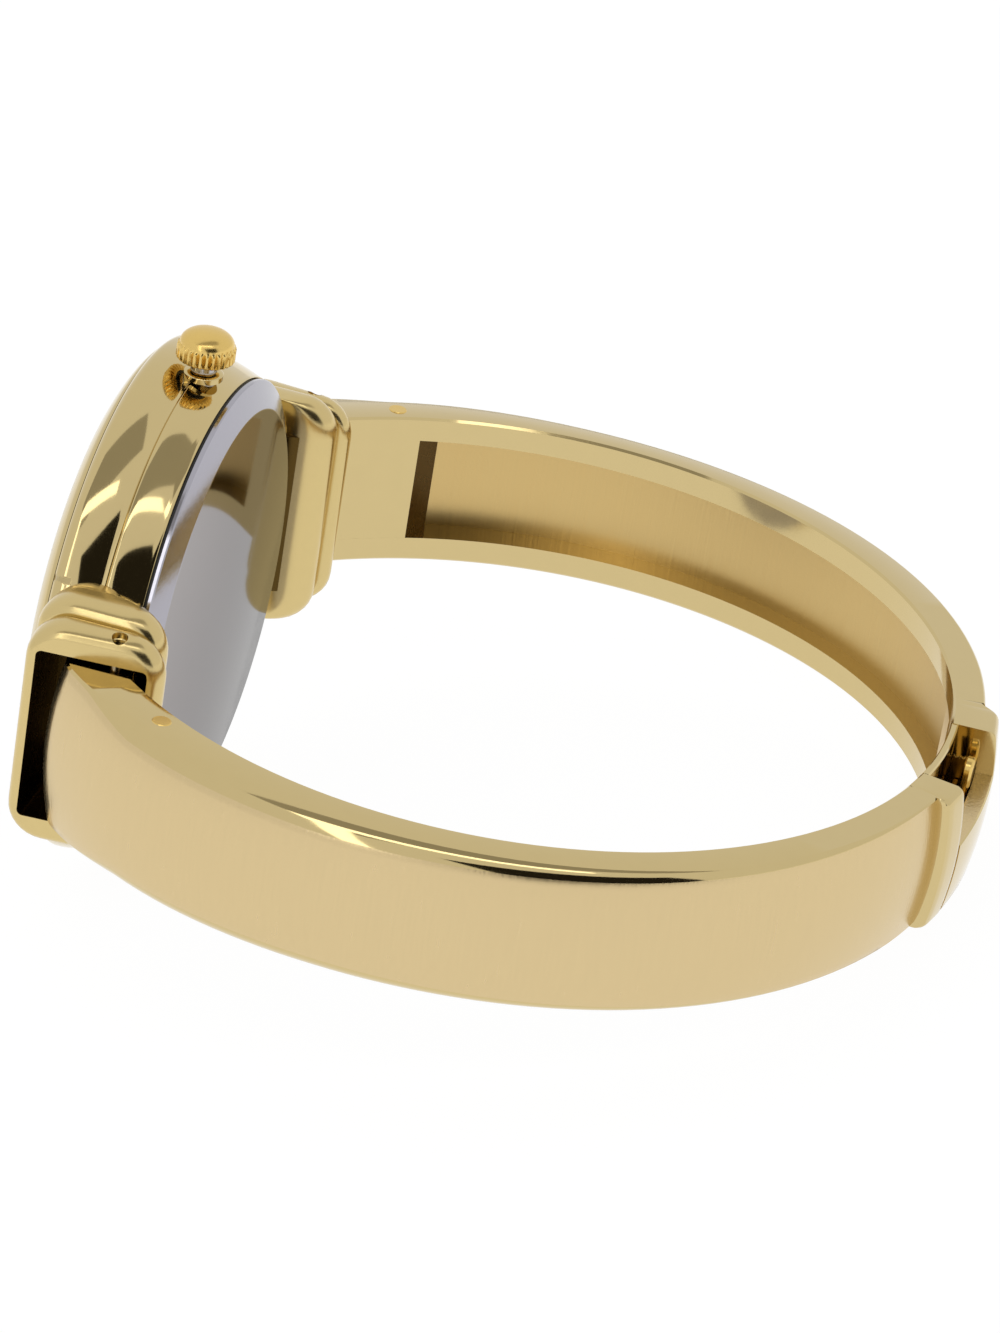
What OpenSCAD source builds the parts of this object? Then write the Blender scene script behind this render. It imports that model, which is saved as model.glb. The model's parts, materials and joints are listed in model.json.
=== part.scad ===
// Ladies' cuff watch: a round quartz head between two hooded lugs, two rigid cuff arms that
// swing on pins in the lugs, and a tongue-and-housing clasp opposite the head.
// The watch lies as it is laid down: the rim of the case and the clasp touch the table.
// Head frame: +Z out of the dial, +X to the crown, +Y to 12 o'clock, zero at the cuff's centre.
// Cuff frame: +X from the head to the clasp, +Y to the 12 o'clock arm, +Z to the crown.

/* [Cuff arms] */
// Radius of the cuff's outer surface at the middle of its width
bangle_r = 29.15; // [28.5:0.05:31]
// Radius of the arch across the width of an arm
arm_arch_r = 20; // [14:0.5:40]
// Half the width of an arm at the lugs
arm_half_lug = 5.15; // [4.8:0.05:5.3]
// Half the width of an arm at the clasp
arm_half_clasp = 4.25; // [3.9:0.05:4.6]
// Thickness of an arm beside the lug
arm_t_lug = 3.65; // [3.2:0.05:3.9]
// Thickness of an arm beside the clasp
arm_t_clasp = 2.45; // [2.2:0.05:2.6]
// Thickness of the outer wall behind the hollow of an arm
arm_wall = 1.4; // [1.1:0.05:1.6]
// Height of the lips above and below the hollow
lip_h = 1.55; // [1.2:0.05:1.8]
// Angle from the clasp to the end of the hollow at the lug
hollow_end_angle = 115; // [110:0.5:118]
// Angle from the clasp to the start of the hollow
hollow_start_angle = 16; // [16:1:26]
// Radius of the arm's edge knuckles round the hinge pin
knuckle_r = 1.1; // [0.9:0.05:1.15]
// Radius of the arms' round ends, about the hinge pins
nose_r = 3.46; // [3.4:0.02:3.6]
// Radius of the pins that hold each hinge block in its arm
block_pin_r = 0.6; // [0.4:0.05:0.7]
// Angle from the clasp to the pin through the hinge block
block_pin_angle = 120.5; // [119:0.5:122]

/* [Hinges and lugs] */
// Distance of the hinge pins outside the case's greatest radius
pin_out = 2.69; // [2.6:0.01:2.8]
// Distance of the hinge pins from the case back's face, towards the dial
pin_level = 0.66; // [0.6:0.01:0.75]
// Radius of the hinge pins
hinge_pin_r = 0.4; // [0.3:0.02:0.5]
// How deep the pin ends sit under the lug's surface
pin_recess = 0.45; // [0.2:0.05:0.8]
// Gap beside the arm in the lug's pocket
pocket_gap = 0.2; // [0.15:0.01:0.3]
// Thickness of the broad rib's walls above and below the pocket
rib_wall = 2.3; // [2:0.05:2.6]
// Thickness of the hood's walls above and below the pocket
hood_side = 1.65; // [1.3:0.05:1.8]
// Reach of the broad rib past the hinge pin, to the wrist
rib_under = 2.3; // [2.1:0.05:2.5]
// Reach of the broad rib past the hinge pin, to the dial
rib_over = 5.5; // [5.3:0.05:5.6]
// Reach of the hood past the hinge pin, to the wrist
hood_under = 2.8; // [2.6:0.05:2.9]
// Reach of the hood past the hinge pin, to the dial
hood_over = 5.31; // [5.1:0.01:5.5]
// Thickness of the hood's wall on the wrist side
hood_wall = 0.8; // [0.6:0.05:0.9]
// Width of the broad rib's wrist side
rib_w = 1.7; // [1.4:0.1:2]
// Distance from the end of the broad rib to the hinge pin
rib_back = 1.24; // [1:0.02:1.6]
// Reach of the hood's mouth past the hinge pin, on the dial side
mouth_out = 1.2; // [1:0.05:1.6]
// Reach of the hood's mouth past the hinge pin, on the wrist side
mouth_out_wrist = 0.36; // [0.3:0.02:0.6]
// Radius of the lug's rounded edges
lug_round = 2; // [1.6:0.1:2.2]
// Gap between the arm's end and the bottom of the pocket
nose_gap = 0.28; // [0.2:0.01:0.4]
// Gap between the arm's end and the pocket's dial side, into which the arm swings
swing_gap = 1; // [0.9:0.01:1.1]

/* [Case] */
// Inside radius of the case
case_bore_r = 13.05; // [13:0.05:13.2]
// Thickness of the case's wall at the line round its middle
case_wall = 1.95; // [1.85:0.05:2.1]
// How much less the radius of the case is at its back edge than at the line
case_taper = 0.1; // [0.05:0.01:0.2]
// How far the greatest radius of the case stands out beyond the line
case_swell = 0.75; // [0.5:0.05:0.9]
// Width of the groove that makes the line
line_w = 0.32; // [0.2:0.02:0.4]
// Height of the line above the case's back edge
line_h = 2.25; // [2.2:0.05:2.35]
// Height of the greatest radius above the line
belly_h = 2.4; // [2.2:0.05:2.5]
// Height of the case's front above its greatest radius
front_h = 0.6; // [0.5:0.05:0.7]
// Width of the ring over the edge of the dial
flange_w = 0.85; // [0.6:0.05:1.1]
// Height of the bezel
bezel_h = 1; // [0.95:0.05:1.1]
// How much smaller than the case the bezel is
bezel_step = 0.6; // [0.45:0.05:0.7]
// Width of the bezel's slope
bezel_slope = 1.6; // [1.3:0.05:1.65]
// How far the crystal is wider than the case bore
crystal_over = 0.05; // [0:0.05:0.1]
// Thickness of the crystal at its rim
crystal_rim = 0.9; // [0.7:0.05:1]
// Height of the crystal's dome above its rim
crystal_dome = 0.45; // [0.2:0.05:0.6]
// Width of the seal round the crystal
crystal_seal = 0.25; // [0.2:0.05:0.35]

/* [Case back] */
// How much smaller than the case's back edge the case back's rim is
back_step = 0.67; // [0.5:0.01:0.8]
// Height of the case back below the case
back_h = 1.12; // [1.05:0.01:1.2]
// Width of the case back's bevel
back_bevel_w = 1.58; // [1.3:0.02:1.8]
// Height of the case back's bevel
back_bevel = 0.69; // [0.6:0.01:0.75]
// Thickness of the case back
back_plate = 0.75; // [0.6:0.05:0.8]
// Thickness of the seal under the rim
back_seal = 0.2; // [0.15:0.01:0.25]
// Depth of the snap wall inside the case
snap_depth = 0.9; // [0.7:0.05:1]

/* [Dial and hands] */
// Depth of the dial's back face below the case's front
dial_sink = 1.26; // [1.24:0.01:1.28]
// Thickness of the dial
dial_t = 0.3; // [0.25:0.05:0.35]
// Gap round the dial
dial_gap = 0.15; // [0.1:0.01:0.25]
// Length of the hour marks
mark_len = 2.2; // [1.5:0.1:3]
// Width of the hour marks
mark_w = 0.4; // [0.3:0.05:0.6]
// Thickness of the hour marks
mark_t = 0.12; // [0.08:0.01:0.15]
// Length of the hour hand
hour_len = 6.4; // [5:0.1:7.5]
// Length of the minute hand
minute_len = 9.6; // [8:0.1:11]
// Thickness of the hands
hand_t = 0.12; // [0.1:0.01:0.14]

/* [Crown] */
// Height of the stem above the case back's face
stem_h = 2.93; // [2.91:0.01:2.97]
// Radius of the crown
crown_r = 1.75; // [1.5:0.05:1.9]
// Gap between the crown, pushed in, and the case
crown_gap = 0.07; // [0.05:0.01:0.15]
// Height of the crown's fluted side
crown_side = 0.95; // [0.8:0.05:1.1]
// Height of the crown's dome
crown_dome = 0.95; // [0.8:0.05:1.1]
// Number of flutes round the crown
crown_flutes = 28; // [16:1:36]
// Travel of the crown from pushed in to pulled out
crown_travel = 0.45; // [0.3:0.05:0.45]
// Outside radius of the crown tube
tube_r = 0.79; // [0.7:0.01:0.85]
// Radius of the stem
stem_r = 0.45; // [0.35:0.01:0.48]

/* [Movement] */
// Radius of the movement
movement_r = 9.2; // [9.15:0.05:9.4]
// Radius of the battery
battery_r = 3.4; // [3.1:0.1:3.4]
// Thickness of the battery
battery_t = 2.1; // [1.6:0.1:2.1]
// Tooth size of the hand-setting wheels
setting_module = 0.12; // [0.11:0.01:0.12]
// Tooth size of the driving train
train_module = 0.1; // [0.09:0.01:0.1]

/* [Clasp] */
// How far the clasp stands out beyond the arms
clasp_rise = 0.65; // [0.5:0.05:0.9]
// Radius of the arch across the clasp
clasp_arch_r = 22; // [16:1:40]
// Angle from the clasp's centre to the parting line
parting_angle = 10; // [9:0.25:10.5]
// Angle from the centre to the end of the housing
housing_angle = 12; // [11.5:0.25:12]
// Angle from the centre to the start of the raised end piece
end_piece_angle = 14.5; // [14:0.5:16]
// Angle from the centre to the full-height shoulder
shoulder_angle = 4.75; // [4.5:0.25:6]
// Height of the housing in the notch, above mid-width
notch_z = 1.5; // [1.35:0.05:1.7]
// Height of the thumb tab above mid-width
tab_z = 2.95; // [2.6:0.05:3.2]
// Thickness of the tongue's leaves
leaf_t = 0.25; // [0.2:0.01:0.28]
// Half the width of the tongue
tongue_half = 2.3; // [2:0.05:2.4]
// Height of the tongue's upper edge above mid-width
tongue_top = 0.9; // [0.7:0.05:1]
// Gap inside the fold of the tongue's spring
fold_gap = 0.2; // [0.18:0.01:0.25]
// Gap round the tongue in the housing
tongue_gap = 0.2; // [0.15:0.01:0.25]
// Gap on the tongue's wrist side, to which it leans as the arms part
tongue_lean_gap = 0.33; // [0.31:0.01:0.36]
// Wall of the end piece behind the tongue's root
root_wall = 0.5; // [0.4:0.05:0.7]
// Reach of the tongue past the middle of the clasp
tongue_reach = 2; // [1.6:0.1:2.2]
// Distance of the spring's fold from the middle of the clasp
fold_place = 4.2; // [4:0.05:4.25]
// Length of the foot from which the spring folds back
foot_len = 1.2; // [0.8:0.1:1.6]
// Width of the thumb tab
tab_w = 1.6; // [1.4:0.05:1.6]
// Radius of the rivets in the tongue's root
rivet_r = 0.35; // [0.25:0.01:0.4]

/* [Fits] */
// Gap round a turning or sliding piece
run_gap = 0.03; // [0.02:0.005:0.05]
// Gap between fixed pieces that fit together
seat_gap = 0.02; // [0.01:0.005:0.03]
// Gap at the clasp's parting line
parting_gap = 0.1; // [0.08:0.01:0.15]

/* [Hidden] */
$fn = 96;

gold = [0.83, 0.75, 0.55];
deep_gold = [0.75, 0.55, 0.2];
steel = [0.68, 0.68, 0.71];
brass = [0.78, 0.66, 0.36];
black = [0.08, 0.08, 0.08];

case_line_r = case_bore_r + case_wall;
case_back_edge_r = case_line_r - case_taper;
case_r = case_line_r + case_swell;
bezel_r = case_r - bezel_step;
flange_r = case_bore_r - flange_w;
dial_r = case_bore_r - dial_gap;
back_rim_r = case_back_edge_r - back_step;
back_flat_r = back_rim_r - back_bevel_w;

pin_radius = bangle_r - nose_r;
pin_y = case_r + pin_out;
pin_depth = sqrt(pow(pin_radius, 2) - pow(pin_y, 2));
pin_angle = atan2(pin_y, -pin_depth);

back_flat = pin_depth - pin_level;
case_back_edge = back_flat + back_h;
case_line = case_back_edge + line_h;
case_belly = case_line + belly_h;
case_front = case_belly + front_h;
bezel_front = case_front + bezel_h;
dial_z = case_front - dial_sink;
stem_z = back_flat + stem_h;

pocket_half = arm_half_lug + pocket_gap;
rib_half = pocket_half + rib_wall;
hood_half = pocket_half + hood_side;
rib_wrist = pin_depth - rib_under;
rib_dial = pin_depth + rib_over;
hood_wrist = pin_depth - hood_under;
hood_dial = pin_depth + hood_over;
rib_end_y = pin_y - rib_back;
rib_root_y = rib_end_y - rib_w;
hood_mouth_y = pin_y + mouth_out;
hood_mouth_wrist_y = pin_y + mouth_out_wrist;
pocket_dial = pin_depth + nose_r + swing_gap;
pocket_wrist = hood_wrist + hood_wall;
pocket_floor_y = pin_y - nose_r - nose_gap;
lug_root_y = case_bore_r - 5;

clasp_r = bangle_r + clasp_rise;
clasp_edge = clasp_r - clasp_arch_r + sqrt(pow(clasp_arch_r, 2) - pow(arm_half_clasp, 2));
inner_shift = (arm_t_lug - arm_t_clasp) / (1 - cos(pin_angle));
inner_r = bangle_r - arm_t_clasp - inner_shift;
hollow_r = bangle_r - arm_wall;
block_pin_radius = (bangle_r + inner_r + inner_shift * cos(block_pin_angle)) / 2 - 0.6;
arm_lug_x = -pin_depth - nose_r;

case_arc_r = (pow(case_belly - case_line, 2) + pow(case_r - case_line_r, 2))
    / (2 * (case_r - case_line_r));
case_arc_centre = case_r - case_arc_r;

rest_a = case_belly + clasp_edge;
rest_b = arm_half_clasp - case_arc_centre;
tilt = asin(case_arc_r / norm([rest_a, rest_b])) - atan2(rest_b, rest_a);
rest_z = clasp_edge * sin(tilt) + arm_half_clasp * cos(tilt);
far_x = (clasp_r - clasp_arch_r) * cos(tilt) + clasp_arch_r;
near_x = bezel_front * cos(tilt) + (bezel_r - bezel_slope) * sin(tilt);
rest_x = (near_x - far_x) / 2;

dial_front = dial_z + dial_t;
crystal_z = case_front + 0.05;
crystal_r = case_bore_r + crystal_over;
crystal_seat_r = crystal_r + crystal_seal;
dome_r = (pow(crystal_r - 0.3, 2) + pow(crystal_dome, 2)) / (2 * crystal_dome);
back_seat = case_back_edge - back_seal;
snap_r = case_bore_r - 0.05;
crown_foot = case_arc_centre + crown_gap + crown_travel
    + sqrt(pow(case_arc_r, 2) - pow(stem_z + crown_r - case_belly, 2));
tube_end = crown_foot + 0.25;
flute_r = PI * crown_r / crown_flutes / 2;
crown_dome_r = (pow(crown_r - 0.1, 2) + pow(crown_dome, 2)) / (2 * crown_dome);
crown_hollow_r = tube_r + 0.26;
crown_hollow_end = tube_end + crown_travel + 0.1;
stem_end = crown_hollow_end + 0.5;

plate_z1 = dial_z - 0.7;
plate_z0 = plate_z1 - 0.55;
motion_z = plate_z1 + 0.1;
hour_wheel_z = motion_z + 0.3;
hour_hand_z = dial_front + mark_t + 0.15;
minute_hand_z = hour_hand_z + hand_t + 0.2;
clamp_z = back_flat + back_plate + 0.1;
clamp_t = 0.15;
battery_z0 = clamp_z + clamp_t + 0.02;
battery_z1 = battery_z0 + battery_t;
bridge_z0 = stem_z - 1.3;
bridge_z1 = bridge_z0 + 0.35;
board_t = 0.3;
board_z = bridge_z0;
screw_end = plate_z0 + 0.4;
train_z = plate_z0 - 0.5;
stator_z = train_z + 0.15;
battery_at = [-5, -2.7];
arbor_r = 0.15;
cannon_r = 0.35;
hour_tube_r = 0.6;
post_r = 0.2;
mark_mid = flange_r - 0.5 - mark_len / 2;

minute_dir = 50;
minute_at = polar(24 * setting_module, minute_dir);
hour_module = 2 * 24 * setting_module / 50;
setting_x = minute_at.x + sqrt(pow(28 * setting_module, 2) - pow(minute_at.y, 2));
setting_dir = atan2(minute_at.y, minute_at.x - setting_x);
minute_turn = minute_dir + 180 + 5;
setting_turn = setting_dir + 9 + (setting_dir + 180 - minute_turn) % 10 * 36 / 20;
pinion_mesh_r = 6 * setting_module;
pinion_tip_r = pinion_mesh_r + 0.15;
pinion_x = setting_x + 10.8 * setting_module + 0.04;
stem_start = setting_x + 0.6;
detent_t = 0.2;
detent_x = movement_r - 0.3;
intermediate_dir = 120;
intermediate_at = polar(33 * train_module, intermediate_dir);
rotor_module = 0.9 * train_module;
rotor_dir = 80;
rotor_at = intermediate_at + polar(30 * rotor_module, rotor_dir);

block_pin_half = arm_half(block_pin_radius * cos(block_pin_angle)) - 0.05;
end_seat = 0.05;
nose_lap = 0.6;
parting_turn = 2 * asin(parting_gap / 2 / clasp_r);
inner_skin = 0.45;
slot_skin = 0.45;
leaf_x = inner_r + inner_shift + slot_skin + tongue_lean_gap;
spring_x = leaf_x + 2 * leaf_t + run_gap + fold_gap;
bend_r = fold_gap / 2;
bend_x = spring_x - bend_r;
tongue_root = leaf_x * sin(end_piece_angle) - root_wall;
rivet_y = -(tongue_root + leaf_x * sin(parting_angle)) / 2;
rivet_x0 = leaf_x - 1.2;

module rest() translate([rest_x, 0, rest_z]) rotate([0, tilt, 0]) children();
module head() rest() rotate([0, -90, 0]) children();
module along_x(x0, x1) translate([x0, 0, 0]) rotate([90, 0, 90]) linear_extrude(x1 - x0) children();
module along_y(y0, y1) translate([0, y1, 0]) rotate([90, 0, 0]) linear_extrude(y1 - y0) children();
module disc(r, z0, z1) translate([0, 0, z0]) cylinder(r = r, h = z1 - z0);
module ring(r0, r1, z0, z1) difference() {
    disc(r1, z0, z1);
    disc(r0, z0 - 1, z1 + 1);
}
module rod_x(r, x0, x1) translate([x0, 0, 0]) rotate([0, 90, 0]) cylinder(r = r, h = x1 - x0);

// A rectangle from corner to corner with round corners.
module soft_rect(x0, y0, x1, y1, r) {
    translate([x0 + r, y0]) square([x1 - x0 - 2 * r, y1 - y0]);
    translate([x0, y0 + r]) square([x1 - x0, y1 - y0 - 2 * r]);
    for (x = [x0 + r, x1 - r], y = [y0 + r, y1 - r]) translate([x, y]) circle(r);
}

// Lengthwise sides of the arms: the cuff narrows from the lugs to the clasp.
module width_wedge(inset) along_y(-40, 40) polygon([
    [arm_lug_x - 8, arm_half_lug - inset], [arm_lug_x, arm_half_lug - inset],
    [clasp_edge, arm_half_clasp - inset], [clasp_r + 1, arm_half_clasp - inset],
    [clasp_r + 1, inset - arm_half_clasp], [clasp_edge, inset - arm_half_clasp],
    [arm_lug_x, inset - arm_half_lug], [arm_lug_x - 8, inset - arm_half_lug]]);

// The arched section of a band whose middle is at radius r.
module arched(r, arch_r) intersection() {
    translate([r - arch_r, 0]) circle(arch_r);
    translate([max(0, r - 6), -rib_half]) square([6.5, 2 * rib_half]);
}
module band(a0, a1, r, arch_r) rotate([0, 0, a0]) rotate_extrude(angle = a1 - a0) arched(r, arch_r);
module inner_cut() translate([inner_shift, 0, -20]) cylinder(r = inner_r, h = 40);
module at_pin() translate([-pin_depth, pin_y, 0]) children();
module at_block_pin() rotate([0, 0, block_pin_angle]) translate([block_pin_radius, 0, 0]) children();

// Gear teeth: n teeth of module m, each with straight sides.
function gear_points(n, m) = [for (i = [0 : n - 1], c = [[-0.23, -1], [-0.11, 0.8], [0.11, 0.8], [0.23, -1]])
    let (a = 360 * (i + c[0]) / n, r = n * m / 2 + c[1] * m) [r * cos(a), r * sin(a)]];
module gear(n, m, z0, z1, turn = 0) translate([0, 0, z0]) rotate([0, 0, turn])
    linear_extrude(z1 - z0) polygon(gear_points(n, m));
function polar(r, a) = [r * cos(a), r * sin(a)];
function arm_half(x) = arm_half_clasp + (arm_half_lug - arm_half_clasp) * (clasp_edge - x)
    / (clasp_edge - arm_lug_x);

// Case: the middle with its two hooded lugs, the bezel, the crystal and their seal.
module case_ring() rotate_extrude() difference() {
    union() {
        translate([flange_r, dial_front]) square([2, case_front - dial_front]);
        polygon([[case_bore_r, case_back_edge], [case_back_edge_r - 0.25, case_back_edge],
            [case_back_edge_r, case_back_edge + 0.25], [case_line_r, case_line],
            [case_line_r, case_front], [case_bore_r, case_front]]);
        intersection() {
            translate([case_arc_centre, case_belly]) circle(case_arc_r);
            translate([case_bore_r, case_line]) square([5, case_front - case_line]);
        }
    }
    translate([case_line_r + 0.05, case_line]) rotate(45) square(line_w, center = true);
    polygon([[bezel_r, case_front + 0.01], [case_r + 0.1, case_belly], [case_r + 0.1, case_front + 0.01]]);
}
module pillow(half, z0, z1, y1) intersection() {
    along_y(lug_root_y, y1) soft_rect(-half, z0, half, z1, lug_round);
    translate([0, 0, z0]) linear_extrude(z1 - z0) soft_rect(-half, lug_root_y - 1, half, y1, lug_round / 2);
}
module pocket_box(z0) translate([-pocket_half, pocket_floor_y, z0])
    cube([2 * pocket_half, hood_mouth_y - pocket_floor_y + 1, pocket_dial - z0]);
module lug() difference() {
    union() {
        pillow(rib_half, rib_wrist, rib_dial, rib_end_y);
        difference() {
            pillow(hood_half, hood_wrist, hood_dial, hood_mouth_y);
            along_x(-rib_half, rib_half) polygon([[hood_mouth_wrist_y, hood_wrist - 1],
                [hood_mouth_y + 1, hood_wrist - 1], [hood_mouth_y + 1, hood_dial + 1],
                [hood_mouth_y, hood_dial]]);
        }
    }
    translate([-rib_half, 0, 0]) cube([2 * rib_half, rib_root_y, case_back_edge]);
    disc(case_bore_r + 1, 0, case_front);
    pocket_box(pocket_wrist);
    translate([0, pin_y, pin_depth]) rod_x(hinge_pin_r + seat_gap, -rib_half, rib_half);
}
module case_middle() color(gold) head() difference() {
    union() {
        difference() {
            case_ring();
            for (s = [0, 1]) mirror([0, s, 0]) pocket_box(back_flat);
        }
        lug();
        mirror([0, 1, 0]) lug();
    }
    translate([0, 0, stem_z]) rod_x(tube_r + seat_gap, case_bore_r - 1, case_r + 1);
}
module bezel() color(gold) head() rotate_extrude() polygon(concat([[crystal_seat_r, bezel_front],
    [crystal_seat_r, case_front + seat_gap]], [for (i = [0 : 12]) [bezel_r - bezel_slope * pow(i / 12, 1.5),
    case_front + seat_gap + (bezel_h - seat_gap) * i / 12]]));
module crystal() color([0.9, 0.95, 1, 0.35]) head() {
    disc(crystal_r, crystal_z, crystal_z + crystal_rim);
    intersection() {
        translate([0, 0, crystal_z + crystal_rim + crystal_dome - dome_r]) sphere(dome_r);
        disc(crystal_r - 0.3, crystal_z, bezel_front + crystal_dome + 1);
    }
}
module crystal_seal_ring() color(black) head()
    ring(crystal_r + seat_gap, crystal_seat_r - seat_gap, crystal_z, crystal_z + crystal_rim - 0.1);

// Case back: a steel cup that snaps into the case over a black seal.
module case_back() color(steel) head() rotate_extrude() polygon([
    [0, back_flat], [back_flat_r, back_flat], [back_rim_r, back_flat + back_bevel],
    [back_rim_r, back_seat], [snap_r, back_seat], [snap_r, back_seat + snap_depth],
    [snap_r - 0.8, back_seat + snap_depth], [snap_r - 0.8, back_flat + back_plate],
    [0, back_flat + back_plate]]);
module back_seal_ring() color(black) head()
    ring(case_bore_r + 0.1, back_rim_r - 0.1, back_seat + 0.01, case_back_edge - 0.01);

// Crown, stem and the pieces that carry them.
module crown_tube() color(steel) head() translate([0, 0, stem_z]) difference() {
    rod_x(tube_r, case_bore_r + 0.2, tube_end);
    rod_x(stem_r + run_gap, case_bore_r - 1, tube_end + 1);
}
module crown() color(deep_gold) head() translate([0, 0, stem_z]) difference() {
    union() {
        difference() {
            rod_x(crown_r, crown_foot, crown_foot + crown_side);
            for (i = [0 : crown_flutes - 1]) rotate([360 * i / crown_flutes, 0, 0])
                translate([0, 0, crown_r + 0.03]) rod_x(flute_r, crown_foot - 1, crown_foot + crown_side + 1);
        }
        translate([crown_foot + crown_side, 0, 0]) rotate([0, 90, 0]) intersection() {
            translate([0, 0, crown_dome - crown_dome_r]) sphere(crown_dome_r);
            disc(crown_r - 0.1, -0.1, crown_dome);
        }
        rod_x(crown_r / 4, crown_foot, crown_foot + crown_side + crown_dome + 0.06);
    }
    rod_x(crown_hollow_r, crown_foot - 1, crown_hollow_end);
    rod_x(stem_r + seat_gap, crown_foot - 1, stem_end + 0.02);
}
module crown_seal() color(black) head() translate([0, 0, stem_z]) difference() {
    rod_x(crown_hollow_r - seat_gap, crown_foot + 0.02, crown_foot + 0.2);
    rod_x(tube_r + run_gap, crown_foot - 1, crown_foot + 1);
}
module stem() color(steel) head() translate([0, 0, stem_z]) difference() {
    rod_x(stem_r, stem_start, stem_end);
    difference() {
        rod_x(stem_r + 1, detent_x - run_gap, detent_x + detent_t + run_gap);
        rod_x(stem_r - 0.15, detent_x - 1, detent_x + 1);
    }
}
module fork(x0, t, slot_r, y0, y1) along_x(x0, x0 + t) difference() {
    translate([y0, bridge_z1 + 0.05]) square([y1 - y0, plate_z0 - bridge_z1 - 0.1]);
    translate([0, stem_z]) circle(slot_r);
    translate([-slot_r, stem_z]) square([2 * slot_r, 3]);
}
module stem_detent() color(steel) head() fork(detent_x, detent_t, stem_r - 0.15 + run_gap, -1, 1);
module yoke() color(steel) head() fork(pinion_x + 0.63, 0.25, 0.6 + run_gap, -0.95, 2.4);
module sliding_pinion() color(steel) head() translate([0, 0, stem_z]) difference() {
    union() {
        rod_x(pinion_tip_r, pinion_x, pinion_x + 0.58);
        rod_x(0.6, pinion_x, pinion_x + 1.2);
        rod_x(pinion_tip_r, pinion_x + 0.93, pinion_x + 1.25);
        for (i = [0 : 11]) rotate([15 + 30 * i, 0, 0]) translate([pinion_x - 0.22, -0.07, 0.57])
            cube([0.3, 0.14, pinion_tip_r - 0.6]);
    }
    rod_x(stem_r + run_gap, stem_start, pinion_x + 2);
}

// Dial, marks and hands.
module dial() color([0.93, 0.9, 0.82]) head() ring(hour_tube_r + 0.06, dial_r, dial_z, dial_front);
module hour_marks() color(gold) head() for (i = [0 : 11]) rotate([0, 0, 30 * i])
    translate([mark_mid - mark_len / 2, -mark_w * (i % 3 == 0 ? 1 : 0.5), dial_front])
        cube([mark_len, mark_w * (i % 3 == 0 ? 2 : 1), mark_t]);
module hand(len, hub_r, bore_r, z, turn) translate([0, 0, z]) rotate([0, 0, turn])
    linear_extrude(hand_t) difference() {
        union() {
            circle(hub_r);
            polygon([[-hub_r * 0.5, -len * 0.22], [hub_r * 0.5, -len * 0.22], [0.32, len * 0.6],
                [0, len], [-0.32, len * 0.6]]);
        }
        circle(bore_r);
    }
module hour_hand() color(gold) head()
    hand(hour_len, 1.1, hour_tube_r + seat_gap, hour_hand_z, -305);
module minute_hand() color(gold) head()
    hand(minute_len, 0.85, cannon_r + seat_gap, minute_hand_z, -60);

// Wheels behind the dial that turn the hands.
module cannon_pinion() color(brass) head() difference() {
    union() {
        gear(12, setting_module, motion_z - 0.05, motion_z + 0.2, minute_dir);
        disc(cannon_r, motion_z, minute_hand_z + hand_t + 0.05);
    }
    disc(arbor_r + run_gap, motion_z - 1, crystal_z);
}
module minute_wheel() color(brass) head() translate(minute_at) difference() {
    union() {
        gear(36, setting_module, motion_z, motion_z + 0.15, minute_turn);
        gear(10, hour_module, motion_z + 0.1, motion_z + 0.55, minute_dir + 180);
    }
    disc(post_r + run_gap, motion_z - 1, motion_z + 1);
}
module hour_wheel() color(brass) head() difference() {
    union() {
        gear(40, hour_module, hour_wheel_z, hour_wheel_z + 0.18, minute_dir + 4.5);
        disc(hour_tube_r, hour_wheel_z, hour_hand_z + hand_t);
    }
    disc(cannon_r + run_gap, motion_z - 1, crystal_z);
}
module setting_wheel() color(brass) head() translate([setting_x, 0, 0]) {
    gear(20, setting_module, stem_z + pinion_mesh_r - 0.1, stem_z + pinion_mesh_r + 0.1);
    gear(20, setting_module, motion_z, motion_z + 0.15, setting_turn);
    disc(0.4, stem_z + pinion_mesh_r, motion_z + 0.15);
}

// Driving train: rotor, intermediate wheel and centre wheel.
module rotor() color(steel) head() translate(rotor_at) {
    gear(6, rotor_module, bridge_z1 + 0.15, train_z - 0.35, rotor_dir + 180 + 30);
    disc(0.6, train_z - 0.35, train_z + 0.4);
    disc(0.1, bridge_z0, plate_z0 + 0.4);
}
module intermediate_wheel() color(brass) head() translate(intermediate_at) {
    gear(54, rotor_module, bridge_z1 + 0.3, bridge_z1 + 0.45, rotor_dir);
    gear(6, train_module, bridge_z1 + 0.4, train_z + 0.25, intermediate_dir + 180 + 30);
    disc(0.1, bridge_z0, plate_z0 + 0.4);
}
module centre_wheel() color(brass) head() {
    gear(60, train_module, train_z, train_z + 0.15, intermediate_dir);
    disc(arbor_r, bridge_z0, minute_hand_z);
}

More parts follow.
